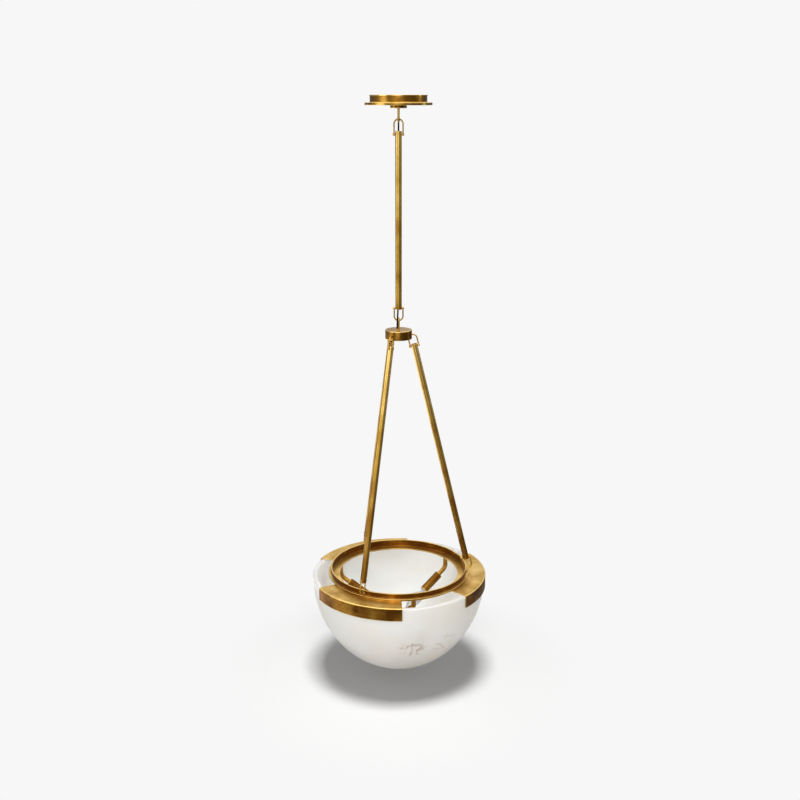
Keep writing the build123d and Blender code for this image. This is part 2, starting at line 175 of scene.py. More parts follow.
def piece(name, forms, body, material, stands_for=(), place=None, crease=usual_crease):
    """One object made of the forms, standing for its solids and riding on a body if one is given.
    Edges sharper than crease, in degrees, stay sharp."""
    mesh = solid_mesh(name, forms)
    mesh.shade_smooth()
    mesh.set_sharp_from_angle(angle=radians(crease))
    mesh.materials.append(material)
    thing = bpy.data.objects.new(name, mesh)
    bpy.context.scene.collection.objects.link(thing)
    if place is not None:
        thing.matrix_world = place
    if body:
        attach(thing, body)
    if stands_for:
        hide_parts(*stands_for)
    return thing


def new_material(name, metallic=0.0):
    """A material with its node tree, its shader and the object's own coordinates."""
    material = bpy.data.materials.new(name)
    material.use_nodes = True
    tree = material.node_tree
    shader = tree.nodes["Principled BSDF"]
    shader.inputs["Metallic"].default_value = metallic
    return material, tree, shader, tree.nodes.new("ShaderNodeTexCoord")


def sums(tree, operation, first, second=0.0):
    """The outcome of one operation on two values, each a number or a socket."""
    made = tree.nodes.new("ShaderNodeMath")
    made.operation = operation
    for socket, value in zip(made.inputs, (first, second)):
        if isinstance(value, (int, float)):
            socket.default_value = value
        else:
            tree.links.new(value, socket)
    return made.outputs[0]


def noise(tree, way, scale, detail=2.0, distortion=0.0):
    """Soft noise along a set of coordinates."""
    made = tree.nodes.new("ShaderNodeTexNoise")
    made.inputs["Scale"].default_value = scale
    made.inputs["Detail"].default_value = detail
    made.inputs["Distortion"].default_value = distortion
    tree.links.new(way, made.inputs["Vector"])
    return made.outputs["Fac"]


def spread(tree, value, low, high, to_low=0.0, to_high=1.0):
    """The value eased from one range to another."""
    made = tree.nodes.new("ShaderNodeMapRange")
    made.interpolation_type = "SMOOTHSTEP"
    for socket, number in zip(made.inputs[1:5], (low, high, to_low, to_high)):
        socket.default_value = number
    tree.links.new(value, made.inputs["Value"])
    return made.outputs[0]


def ramp(tree, value, stops):
    """A colour from a row of stops, each a position and a colour."""
    made = tree.nodes.new("ShaderNodeValToRGB")
    elements = made.color_ramp.elements
    for element, (position, colour) in zip(elements, (stops[0], stops[-1])):
        element.position = position
        element.color = (*colour, 1.0)
    for position, colour in stops[1:-1]:
        elements.new(position).color = (*colour, 1.0)
    tree.links.new(value, made.inputs["Fac"])
    return made.outputs["Color"]


def relief(tree, shader, height, strength, distance):
    """Fine relief on the shader's normal."""
    made = tree.nodes.new("ShaderNodeBump")
    made.inputs["Strength"].default_value = strength
    made.inputs["Distance"].default_value = distance
    tree.links.new(height, made.inputs["Height"])
    tree.links.new(made.outputs["Normal"], shader.inputs["Normal"])


# The aged finish: brown skin in blotches and streaks over gold, rubbed bright along the edges with a painted
# edge highlight, and painted lighter on upward faces as a painted highlight from above
brown_skin = (0.125, 0.045, 0.006)
warm_brown = (0.33, 0.152, 0.018)
old_gold = (0.58, 0.35, 0.066)
rubbed_gold = (0.86, 0.58, 0.18)
gold_stops = ((0.05, brown_skin), (0.34, warm_brown), (0.66, old_gold), (1.0, rubbed_gold))
plain_gold = 0.22
skin_share = 0.6
streak_share = 0.28
hairline_share = 0.3
hairline_fineness = 9.0
# How much the rubbing, with its painted edge highlight, brightens the gold
rub_and_highlight_share = 0.95
least_rub_and_highlight = 0.15
gloss_gain = 0.16

# Each way of working the brass: how closely its grain lies along three ways, per metre or per radian,
# how strong its blotches are, and how many of them lie in a metre
brass_grains = {
    "flat": ((110.0, 110.0, 110.0), 0.9, 24.0),
    "drawn": ((170.0, 170.0, 7.0), 1.3, 11.0),
    "spun": ((300.0, 2.4, 300.0), 1.25, 24.0),
}


def aged_brass(name, grain, skin, crown=0.0, fade=0.0, fade_length=0.0, satin=0.46):
    """Aged brass. grain is the way that it was worked: drawn along Z, spun round Z, or flat.
    skin is how much brown is left, crown how much lighter upward faces are painted, a painted highlight from
    above, satin how rough the brown is, and a piece may be brighter at its origin by fade, which is gone
    fade_length metres below."""
    material, tree, shader, spot = new_material(name, 1.0)
    axes = tree.nodes.new("ShaderNodeSeparateXYZ")
    tree.links.new(spot.outputs["Object"], axes.inputs[0])
    x, y, z = [axes.outputs[axis] for axis in "XYZ"]
    runs = [x, y, z]
    pulls, mottle, patches = brass_grains[grain]
    if grain == "spun":
        square = sums(tree, "ADD", sums(tree, "MULTIPLY", x, x), sums(tree, "MULTIPLY", y, y))
        runs = [sums(tree, "SQRT", square), sums(tree, "ABSOLUTE", sums(tree, "ARCTAN2", y, x)), z]
    grain_way = tree.nodes.new("ShaderNodeCombineXYZ")
    for run, pull, socket in zip(runs, pulls, grain_way.inputs):
        tree.links.new(sums(tree, "MULTIPLY", run, pull), socket)
    streaks = noise(tree, grain_way.outputs[0], 1.0, 2.0)
    hairlines = noise(tree, grain_way.outputs[0], hairline_fineness, 1.0)
    blotches = noise(tree, spot.outputs["Object"], patches, 3.0)
    gold = plain_gold - skin_share * skin - mottle / 2
    for pattern, share in ((streaks, streak_share), (hairlines, hairline_share), (blotches, mottle)):
        gold = sums(tree, "ADD", gold, sums(tree, "MULTIPLY", pattern, share))
    # Upward faces are painted lighter: a painted highlight from above
    if crown:
        facing = tree.nodes.new("ShaderNodeSeparateXYZ")
        tree.links.new(spot.outputs["Normal"], facing.inputs[0])
        upward = sums(tree, "MAXIMUM", facing.outputs["Z"], 0.0)
        gold = sums(tree, "ADD", gold, sums(tree, "MULTIPLY", upward, crown))
    if fade:
        gold = sums(tree, "ADD", gold, spread(tree, z, -fade_length, 0.0, 0.0, fade))
    # The rubbed edges: real wear together with a painted edge highlight
    rub_and_highlight = tree.nodes.new("ShaderNodeAttribute")
    rub_and_highlight.attribute_name = "rubbed_and_highlight"
    worn_and_highlight = sums(tree, "MULTIPLY", rub_and_highlight.outputs["Fac"], sums(tree, "ADD", blotches, least_rub_and_highlight))
    gold = sums(tree, "ADD", gold, sums(tree, "MULTIPLY", worn_and_highlight, rub_and_highlight_share))
    tree.links.new(ramp(tree, gold, gold_stops), shader.inputs["Base Color"])
    tree.links.new(spread(tree, gold, 0.0, 1.0, satin, satin - gloss_gain), shader.inputs["Roughness"])
    relief(tree, shader, streaks, strength=0.03, distance=0.0004)
    return material


canopy_outline = [
    (drum_bore, 0.0, 0.3),
    (lip_radius, 0.0, 0.4),
    (lip_radius, lip_foot, 0.6),
    (drum_radius, lip_foot, 0.0),
    (drum_radius, flange_top, 2.0),
    (flange_radius, flange_top, 1.2),
    (flange_radius, flange_foot, 1.2),
    (nipple_hole, flange_foot, 0.3),
    (nipple_hole, floor_inside, 0.3),
    (drum_bore, floor_inside, 0.6),
]
spun_brass = aged_brass("spun_brass", "spun", 0.14, crown=0.2, satin=0.36)
piece("canopy_shell", [turned(canopy_outline, 192)], "canopy", spun_brass, ["canopy"])

# Mounting strap, nipple and lock nut
# Zinc plated steel behind the canopy: a pressed strap with two slots for the ceiling box's screws,
# and a threaded pipe that hangs from it and carries the whole light.
nipple_radius = 5.0
nipple_pitch = 0.95
nipple_thread_depth = 0.45
nipple_foot, nipple_head = levels("nipple")
strap_foot = levels("mounting_strap")[0]
nut_flats = 17.0
nut_height = 5.0
dark_zinc = (0.40, 0.41, 0.42)
light_zinc = (0.66, 0.67, 0.67)
zinc_crystals = 420.0
zinc_dullness = (0.28, 0.46)


def zinc_steel(name):
    """Zinc plate with its fine crystals and a bluish grey cast."""
    material, tree, shader, spot = new_material(name, 1.0)
    crystals = tree.nodes.new("ShaderNodeTexVoronoi")
    crystals.inputs["Scale"].default_value = zinc_crystals
    tree.links.new(spot.outputs["Object"], crystals.inputs["Vector"])
    cast = ramp(tree, crystals.outputs["Color"], ((0.0, dark_zinc), (1.0, light_zinc)))
    dullness = spread(tree, crystals.outputs["Distance"], 0.0, 1.0, *zinc_dullness)
    tree.links.new(cast, shader.inputs["Base Color"])
    tree.links.new(dullness, shader.inputs["Roughness"])
    return material


def threaded(radius, top, foot, pitch, depth, sides=48, steps_per_turn=6, crest_wear_and_highlight=0.6):
    """A bar along Z with a rolled thread, closed at both ends."""
    rows = max(2, round((top - foot) / pitch * steps_per_turn))
    points, rubs_and_highlights = [], []
    for row in range(rows + 1):
        height = foot + (top - foot) * row / rows
        for side in range(sides):
            turn = side / sides
            crest = abs(((height - foot) / pitch - turn) % 1.0 - 0.5) * 2.0
            size = radius - depth * (1.0 - crest)
            points.append(Vector((size * cos(2 * pi * turn), size * sin(2 * pi * turn), height)))
            # The crests count as rubbed, which brass reads as wear and a painted highlight
            rubs_and_highlights.append(crest_wear_and_highlight * crest)
    return points, skin(rows + 1, sides), rubs_and_highlights


def hex_nut(flats, height, bore, sides=48, chamfer=0.09, face_size=1.03, wear_and_highlight=0.4):
    """A nut standing on its foot, with its six corners turned down at both ends.
    Each ring has its share of the height and the largest size, in half flats, that it lets a corner have."""
    points, rubs_and_highlights = [], []
    whole_corner, in_bore = 2.0, 0.0
    rings = (
        (0.0, face_size),
        (chamfer, whole_corner),
        (1.0 - chamfer, whole_corner),
        (1.0, face_size),
        (1.0, in_bore),
        (0.0, in_bore),
    )
    for level, limit in rings:
        for side in range(sides):
            angle = 2 * pi * side / sides
            corner = 1 / cos((angle + pi / 6) % (pi / 3) - pi / 6)
            size = min(corner, limit) * flats / 2 if limit else bore
            points.append(Vector((size * cos(angle), size * sin(angle), level * height)))
            # All of a nut counts as rubbed, which brass reads as wear and a painted highlight
            rubs_and_highlights.append(wear_and_highlight)
    return points, skin(len(rings), sides, True), rubs_and_highlights


strap_zinc = zinc_steel("strap_zinc")
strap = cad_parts["mounting_strap"]
strap.data.materials.clear()
strap.data.materials.append(strap_zinc)
nipple_form = threaded(nipple_radius, nipple_head, nipple_foot, nipple_pitch, nipple_thread_depth)
piece("threaded_nipple", [nipple_form], "canopy", strap_zinc, ["nipple"], crease=round_crease)
nut_place = Matrix.Translation((0, 0, strap_foot - nut_height))
nut_form = moved(hex_nut(nut_flats, nut_height, nipple_radius), nut_place)
piece("strap_lock_nut", [nut_form], "canopy", strap_zinc, ["lock_nut"])

# Collar and canopy loop
# A turned brass collar screwed up the nipple against the canopy, and a stout bar bent to a square U
# whose two legs are fixed in the collar. The upper shackle hooks over the bar.
collar_radius = 20.0
collar_foot, collar_head = levels("collar")
collar_outline = [
    (nipple_radius, collar_head, 0.0),
    (collar_radius, collar_head, 0.3),
    (collar_radius, collar_foot, 0.8),
    (0.0, collar_foot, 0.0),
    (0.0, nipple_foot, 0.0),
    (nipple_radius, nipple_foot, 0.0),
]
loop_bar_radius = 2.8
loop_half_width = 8.2
loop_corner = 5.6
canopy_loop_foot, canopy_loop_head = levels("canopy_loop")


def arc_points(centre, radius, first_way, second_way, steps=10):
    """Points of a quarter turn from one direction to another about a centre."""
    turns = [pi / 2 * step / steps for step in range(steps + 1)]
    return [centre + (first_way * cos(turn) + second_way * sin(turn)) * radius for turn in turns]


def bar(path, radius, sides=24, bore=0.0, end_round=0.35, end_wear_and_highlight=0.5):
    """A round bar or tube along a path, with eased ends that are a little rubbed and carry a painted
    highlight.
    """
    ways = []
    for spot in range(len(path)):
        before, after = path[max(spot - 1, 0)], path[min(spot + 1, len(path) - 1)]
        ways.append((after - before).normalized())
    side_way = ways[0].orthogonal().normalized()
    rings = []
    for spot, way in enumerate(ways):
        side_way = (side_way - way * side_way.dot(way)).normalized()
        rings.append((path[spot], side_way.copy(), way.cross(side_way)))
    first, last = rings[0], rings[-1]
    stages = [(first, radius - end_round, 0.0, end_wear_and_highlight), (first, radius, end_round, end_wear_and_highlight)]
    stages += [(ring, radius, 0.0, 0.0) for ring in rings[1:-1]]
    stages += [(last, radius, -end_round, end_wear_and_highlight), (last, radius - end_round, 0.0, end_wear_and_highlight)]
    if bore:
        stages += [(ring, bore, 0.0, 0.0) for ring in rings[::-1]]
    points, rubs_and_highlights = [], []
    for (centre, across_way, along), size, shift, rub_and_highlight in stages:
        way = across_way.cross(along)
        for side in range(sides):
            angle = 2 * pi * side / sides
            points.append(centre + way * shift + (across_way * cos(angle) + along * sin(angle)) * size)
            rubs_and_highlights.append(rub_and_highlight)
    return points, skin(len(stages), sides, bore > 0), rubs_and_highlights


def square_loop(height):
    """The loop's bar, standing on its foot: down one leg, across and up the other."""
    inner = loop_half_width - loop_corner
    rise = loop_bar_radius + loop_corner
    left = arc_points(Vector((0, -inner, rise)), loop_corner, Vector((0, -1, 0)), Vector((0, 0, -1)))
    right = arc_points(Vector((0, inner, rise)), loop_corner, Vector((0, 0, -1)), Vector((0, 1, 0)))
    ends = [Vector((0, side * loop_half_width, height)) for side in (-1, 1)]
    return bar(ends[:1] + left + right + ends[1:], loop_bar_radius, end_round=0.3)


turned_brass = aged_brass("turned_brass", "spun", 0.3, crown=0.15)
loop_brass = aged_brass("loop_brass", "flat", -0.2)
piece("collar_boss", [turned(collar_outline, 96)], "canopy", turned_brass, ["collar"])
canopy_loop_form = square_loop(canopy_loop_head - canopy_loop_foot)
canopy_loop_form = moved(canopy_loop_form, Matrix.Translation((0, 0, canopy_loop_foot)))
piece("canopy_loop_bar", [canopy_loop_form], "canopy", loop_brass, ["canopy_loop"])

# Canopy cord bush and terminal block
# A small turned brass bush that keeps the cord off the sheet's edge, and the ivory plastic block
# under the strap where the cord's wires are screwed to the house wires.
bush_bore = 2.15
bush_radius = 3.25
bush_flange = 4.45
bush_flange_height = 1.2
cord_offset = 15.0
bush_foot, bush_head = levels("canopy_cord_bush")
canopy_bush_outline = [
    (bush_bore, bush_foot, 0.3),
    (bush_radius, bush_foot, 0.4),
    (bush_radius, bush_head - bush_flange_height, 0.0),
    (bush_flange, bush_head - bush_flange_height, 0.2),
    (bush_flange, bush_head, 0.4),
    (bush_bore, bush_head, 0.4),
]


def box_form(low, high, ease=0.5):
    """A block with eased edges, from its two corners."""
    xs, ys, zs = [(a, a + ease, b - ease, b) for a, b in zip(low, high)]
    outline = [(1, 0), (2, 0), (3, 1), (3, 2), (2, 3), (1, 3), (0, 2), (0, 1)]
    middle_x, middle_y = (low[0] + high[0]) / 2, (low[1] + high[1]) / 2
    points = []
    shrinks = (ease, 0.0, 0.0, ease)
    for level, shrink in enumerate(shrinks):
        for column, row in outline:
            x = xs[column] + (shrink if xs[column] < middle_x else -shrink)
            y = ys[row] + (shrink if ys[row] < middle_y else -shrink)
            points.append(Vector((x, y, zs[level])))
    return points, skin(len(shrinks), len(outline)), [0.0] * len(points)


screw_radius = 1.3
screw_height = 0.9
screw_turn = radians(35.0)
driver_half_length = 1.17
driver_half_width = 0.22
driver_sunk = 0.05
driver_proud = 0.06
driver_ease = 0.04


def screw_head(x, y, top):
    """A round terminal screw, with a thin raised line across its head where the driver goes."""
    foot = top - screw_height
    outline = [(0.0, foot, 0.0), (screw_radius, foot, 0.0), (screw_radius, top, 0.3), (0.0, top, 0.0)]
    line_low = (-driver_half_length, -driver_half_width, top - driver_sunk)
    line_high = (driver_half_length, driver_half_width, top + driver_proud)
    place = Matrix.Translation((x, y, 0.0)) @ Matrix.Rotation(screw_turn, 4, "Z")
    return [moved(turned(outline, 24), place), moved(box_form(line_low, line_high, driver_ease), place)]


def mottled(name, dark, light, scale, roughness, shine=0.5, gloss_range=0.08):
    """A plain moulded or fired material whose colour, gloss and surface vary with a fine grain."""
    material, tree, shader, spot = new_material(name)
    fine = noise(tree, spot.outputs["Object"], scale, 4.0)
    tree.links.new(ramp(tree, fine, ((0.3, dark), (0.7, light))), shader.inputs["Base Color"])
    dullness = spread(tree, fine, 0.2, 0.8, roughness - gloss_range, roughness + gloss_range)
    tree.links.new(dullness, shader.inputs["Roughness"])
    shader.inputs["Specular IOR Level"].default_value = shine
    relief(tree, shader, fine, strength=0.12, distance=0.0002)
    return material


barrel_inset = 0.5
screw_rows = (0.27, 0.73)
web_inset = 0.3
web_drop = 0.8


def terminal_block(low, high, poles, screws_on_top):
    """A row of plastic barrels joined by webs, as cut from a strip, with two screws in each barrel."""
    barrels, screws = [], []
    pitch = (high[0] - low[0]) / poles
    depth = high[1] - low[1]
    screw_top = high[2] if screws_on_top else low[2] + screw_height
    for pole in range(poles):
        left, right = low[0] + pitch * pole, low[0] + pitch * (pole + 1)
        barrel_low = (left + barrel_inset, low[1], low[2])
        barrels.append(box_form(barrel_low, (right - barrel_inset, high[1], high[2])))
        for row in screw_rows:
            screws += screw_head((left + right) / 2, low[1] + depth * row, screw_top)
    web_low = (low[0], low[1] + web_inset * depth, low[2] + web_drop)
    web_high = (high[0], high[1] - web_inset * depth, high[2] - web_drop)
    return barrels + [box_form(web_low, web_high)], screws


canopy_bush = moved(turned(canopy_bush_outline, 48), Matrix.Translation((0, cord_offset, 0)))
piece("canopy_bush", [canopy_bush], "canopy", turned_brass, ["canopy_cord_bush"])
block_low, block_high = [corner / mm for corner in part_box("canopy_terminal_block")]
barrels, screws = terminal_block(block_low, block_high, 3, False)
terminal_ivory = mottled("terminal_ivory", (0.66, 0.63, 0.55), (0.78, 0.76, 0.69), 900.0, 0.42)
terminal_screw_zinc = zinc_steel("terminal_screw_zinc")
block_solid = ["canopy_terminal_block"]
piece("canopy_terminal_strip", barrels, "canopy", terminal_ivory, block_solid)
piece("canopy_terminal_screws", screws, "canopy", terminal_screw_zinc)

# Upper shackle and its cross pin
# A brass wire bent to a U over the loop's bar, with a flattened eye on each leg.
# A riveted brass pin goes through both eyes and the head of the stem.
wire_radius = 1.8
half_legs = 10.9
eye_radius = 3.4
eye_thickness = 4.2
pin_radius = 1.75
rivet_radius = 2.6
rivet_height = 0.9
# How much the eyes and rivet heads are rubbed, which brass reads as wear and a painted highlight
eye_wear_and_highlight = 0.15
across = Matrix.Rotation(pi / 2, 4, "Y")


def middle(node):
    """The middle of a solid, in millimetres."""
    low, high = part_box(node)
    return (low + high) / 2 / mm


def shackle(length):
    """The wire U, pin along X through the origin and bend towards +Z, with its two eyes."""
    up, right = Vector((0, 0, 1)), Vector((1, 0, 0))
    crown = Vector((0, 0, length - half_legs))
    bend = arc_points(crown, half_legs, -right, up, 14) + arc_points(crown, half_legs, up, right, 14)[1:]
    wire = bar([-half_legs * right] + bend + [half_legs * right], wire_radius, 20)
    half_eye = eye_thickness / 2
    eye_outline = [
        (pin_radius, -half_eye, 0.0),
        (eye_radius, -half_eye, 0.7),
        (eye_radius, half_eye, 0.7),
        (pin_radius, half_eye, 0.0),
    ]
    eye = moved(turned(eye_outline, 40, wear_and_highlight=eye_wear_and_highlight), across)
    return [wire] + [moved(eye, Matrix.Translation((side * half_legs, 0, 0))) for side in (-1, 1)]


def rivet_pin():
    """The cross pin with a domed head at each end."""
    reach = half_legs + eye_thickness / 2
    end = reach + rivet_height
    outline = [
        (0.0, -end, 0.0),
        (rivet_radius, -end, 0.8),
        (rivet_radius, -reach, 0.1),
        (pin_radius, -reach, 0.0),
        (pin_radius, reach, 0.0),
        (rivet_radius, reach, 0.1),
        (rivet_radius, end, 0.8),
        (0.0, end, 0.0),
    ]
    return moved(turned(outline, 32, wear_and_highlight=eye_wear_and_highlight), across)


upper_pin = middle("upper_pin")
upper_length = levels("upper_shackle")[1] - wire_radius - upper_pin.z
wire_brass = aged_brass("wire_brass", "flat", -0.12)
pin_brass = aged_brass("pin_brass", "flat", 0.1)
upper_place = Matrix.Translation(upper_pin * mm)
piece("upper_shackle_wire", shackle(upper_length), "upper_link", wire_brass, ["upper_shackle"], upper_place)
piece("upper_rivet_pin", [rivet_pin()], "upper_link", pin_brass, ["upper_pin"], upper_place)

# Stem
# A straight drawn brass tube that hangs on the upper pin, with the cord inside it.
# It is brighter at its head, and the brown deepens towards the foot.
tube_radius = 8.0
tube_bore = 6.75
stem_foot, stem_head = [level - upper_pin.z for level in levels("stem")]


def tube(foot, head, steps=24):
    """A tube along Z with eased ends, its length divided so that the finish can follow it."""
    rises = [foot + (head - foot) * step / steps for step in range(1, steps)]
    outline = [(tube_bore, foot, 0.25), (tube_radius, foot, 0.5)]
    outline += [(tube_radius, rise, 0.0) for rise in rises]
    outline += [(tube_radius, head, 0.5), (tube_bore, head, 0.25)]
    outline += [(tube_bore, rise, 0.0) for rise in rises[::-1]]
    return turned(outline, 64)


stem_brass = aged_brass("stem_brass", "drawn", 0.1, fade=0.34, fade_length=0.5)
piece("stem_tube", [tube(stem_foot, stem_head)], "stem", stem_brass, ["stem"], upper_place)

# Lower shackle and its cross pin
# The same wire and rivet turned upside down: the pin goes through the stem's foot,
# and the bend carries the hub's loop.
lower_pin = middle("lower_pin")
lower_length = lower_pin.z - levels("lower_shackle")[0] - wire_radius
upside_down = Matrix.Rotation(pi, 4, "X")
lower_place = Matrix.Translation(lower_pin * mm) @ upside_down
piece("lower_shackle_wire", shackle(lower_length), "lower_link", wire_brass, ["lower_shackle"], lower_place)
piece("lower_rivet_pin", [rivet_pin()], "lower_link", pin_brass, ["lower_pin"], lower_place)

# Hub
# A shallow turned brass drum, open below and closed by a notched floor plate.
# A square loop with two nuts stands on it, and the rods' shackles hang from holes in its side.
hub_radius = 33.8
hub_wall = 2.5
hub_bore = hub_radius - hub_wall
hub_top_plate = 3.0
hub_foot, hub_head = levels("hub")
hub_ceiling = hub_head - hub_top_plate
hub_nut_flats = 8.0
hub_nut_height = 4.0
hub_hole_radius = 2.6
rod_angles = (0.0, 120.0, 240.0)
rod_head = middle("rod_1_top_pin")
rod_foot = middle("rod_1_foot_pin")
rod_lean = (rod_head - rod_foot).angle(Vector((0, 0, 1)))
head_shackle_length = 29.5
hub_outline = [
    (0.0, hub_head, 0.0),
    (hub_radius, hub_head, 1.0),
    (hub_radius, hub_foot, 0.8),
    (hub_bore, hub_foot, 0.3),
    (hub_bore, hub_ceiling, 0.6),
    (0.0, hub_ceiling, 0.0),
]


def drilled(thing, hole_radius, hole_distance, hole_z, depth):
    """Cuts one round hole towards the axis at each rod's angle."""
    drill = [(0.0, -depth, 0.0), (hole_radius, -depth, 0.0), (hole_radius, depth, 0.0), (0.0, depth, 0.0)]
    drills = []
    for angle in rod_angles:
        turn = Matrix.Rotation(radians(angle), 4, "Z")
        place = turn @ Matrix.Translation((hole_distance, 0, hole_z)) @ across
        drills.append(moved(turned(drill, 32), place))
    cutter = bpy.data.objects.new("drill", solid_mesh("drill", drills))
    bpy.context.scene.collection.objects.link(cutter)
    cut = thing.modifiers.new("drilled", "BOOLEAN")
    cut.operation = "DIFFERENCE"
    cut.solver = "EXACT"
    cut.object = cutter
    drilled_mesh = bpy.data.meshes.new_from_object(thing.evaluated_get(bpy.context.evaluated_depsgraph_get()))
    thing.modifiers.remove(cut)
    bpy.data.objects.remove(cutter)
    thing.data = drilled_mesh
    drilled_mesh.set_sharp_from_angle(angle=radians(usual_crease))


hub_brass = aged_brass("hub_brass", "spun", 0.38, crown=0.22, satin=0.34)
hub_drum = piece("hub_drum", [turned(hub_outline, 128)], "hub", hub_brass, ["hub"])
hub_wall_middle = hub_radius - hub_wall / 2
bend_back = head_shackle_length - half_legs
bend_in = rod_head.x - bend_back * sin(rod_lean) - hub_wall_middle
hub_hole_z = rod_head.z + bend_back * cos(rod_lean) + sqrt(half_legs**2 - bend_in**2)
drilled(hub_drum, hub_hole_radius, hub_wall_middle, hub_hole_z, 2 * hub_wall)
hub_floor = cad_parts["hub_floor"]
hub_floor.data.materials.clear()
hub_floor.data.materials.append(turned_brass)
hub_loop_foot, hub_loop_head = levels("hub_loop")
hub_loop_place = Matrix.Translation((0, 0, hub_loop_head)) @ upside_down
hub_loop_form = moved(square_loop(hub_loop_head - hub_loop_foot), hub_loop_place)
piece("hub_loop_bar", [hub_loop_form], "hub", loop_brass, ["hub_loop"])
hub_nut = hex_nut(hub_nut_flats, hub_nut_height, loop_bar_radius)
nut_z = hub_ceiling - hub_nut_height
hub_nuts = [moved(hub_nut, Matrix.Translation((0, side * loop_half_width, nut_z))) for side in (-1, 1)]
piece("hub_leg_nuts", hub_nuts, "hub", pin_brass, ["hub_loop_nuts"])

# Hub cord bush and terminal block
# A taller bush takes the cord through the hub's top in front of the loop,
# and a second ivory block on the hub's floor is where the lamps' wires begin.
hub_bush_middle = middle("hub_cord_bush")
hub_bush_foot, hub_bush_head = levels("hub_cord_bush")
hub_bush_outline = [
    (bush_bore, hub_bush_foot, 0.3),
    (bush_radius, hub_bush_foot, 0.3),
    (bush_radius, hub_head, 0.0),
    (bush_flange, hub_head, 0.1),
    (bush_flange, hub_head + bush_flange_height, 0.4),
    (bush_radius, hub_head + bush_flange_height, 0.3),
    (bush_radius, hub_bush_head, 0.7),
    (bush_bore, hub_bush_head, 0.3),
]
hub_bush_place = Matrix.Translation((hub_bush_middle.x, hub_bush_middle.y, 0))
hub_bush = moved(turned(hub_bush_outline, 48), hub_bush_place)
piece("hub_bush", [hub_bush], "hub", turned_brass, ["hub_cord_bush"])
block_low, block_high = [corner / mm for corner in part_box("hub_terminal_block")]
barrels, screws = terminal_block(block_low, block_high, 2, True)
block_solid = ["hub_terminal_block"]
piece("hub_terminal_strip", barrels, "hub", terminal_ivory, block_solid)
piece("hub_terminal_screws", screws, "hub", terminal_screw_zinc)

# Supply cord
# One black sheathed cord from the canopy's block, behind the upper loop, down inside the stem
# and in front of the lower loop into the hub. It is made in four stretches.
cord_radius = 2.05
cord_pass = 4.1
cord_mouth = 8.0
cord_past_pin = 14.0
cord_turn_past_bar = 4.2
cord_foot, cord_head = levels("supply_cord")
side_step = hub_bush_middle.x
stem_step = -1.6
stem_mouth = upper_pin.z + stem_head + cord_mouth
foot_mouth = upper_pin.z + stem_foot - cord_mouth
cord_route = [
    (0.0, cord_offset, cord_head),
    (0.0, cord_offset, canopy_loop_foot + loop_bar_radius + cord_turn_past_bar),
    (0.0, cord_pass, stem_mouth),
    (0.0, cord_pass, upper_pin.z - cord_past_pin),
    (stem_step, -cord_pass, lower_pin.z + cord_past_pin),
    (stem_step, -cord_pass, foot_mouth),
    (side_step, -cord_offset, hub_loop_head - loop_bar_radius - cord_turn_past_bar),
    (side_step, -cord_offset, cord_foot),
]
stem_middle = (stem_mouth + foot_mouth) / 2
bend_margin = 2.0
head_bend_start = stem_mouth - 4.0
head_bend_end = stem_mouth - 30.0
foot_bend_start = foot_mouth + 26.0
foot_bend_end = foot_mouth + 1.0

# Each stretch: its name, the bodies above and below, its top and foot, and where it starts and ends to bend
canopy_bend = (collar_foot - bend_margin, stem_mouth + bend_margin)
cord_parts = (
    ("cord_at_canopy", "canopy", "upper_link", cord_head, stem_mouth, *canopy_bend),
    ("cord_in_stem_head", "upper_link", "stem", stem_mouth, stem_middle, head_bend_start, head_bend_end),
    ("cord_in_stem_foot", "stem", "lower_link", stem_middle, foot_mouth, foot_bend_start, foot_bend_end),
    ("cord_at_hub", "lower_link", "hub", foot_mouth, cord_foot, foot_mouth - bend_margin, hub_bush_head),
)


def smooth_route(route):
    """Points of one smooth line that follows the route."""
    curve = bpy.data.curves.new("cord_route", "CURVE")
    curve.dimensions = "3D"
    curve.resolution_u = 24
    spline = curve.splines.new("NURBS")
    spline.points.add(len(route) - 1)
    for point, corner in zip(spline.points, route):
        point.co = (*corner, 1.0)
    spline.order_u = 3
    spline.use_endpoint_u = True
    holder = bpy.data.objects.new("cord_route", curve)
    line = bpy.data.meshes.new_from_object(holder)
    points = [vertex.co.copy() for vertex in line.vertices]
    bpy.data.objects.remove(holder)
    return points


cord_black = mottled("cord_black", (0.005, 0.005, 0.006), (0.012, 0.012, 0.013), 700.0, 0.6, shine=0.05)
cord_line = smooth_route(cord_route)
joint_overlap = 0.6
for name, near_body, far_body, top, foot, bend_start, bend_end in cord_parts:
    stretch = [point for point in cord_line if foot - joint_overlap <= point.z <= top + joint_overlap]
    cord_form = bar(stretch, cord_radius, 20, end_round=0.05)
    cord_piece = piece(name, [cord_form], None, cord_black, ["supply_cord"])
    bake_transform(cord_piece)

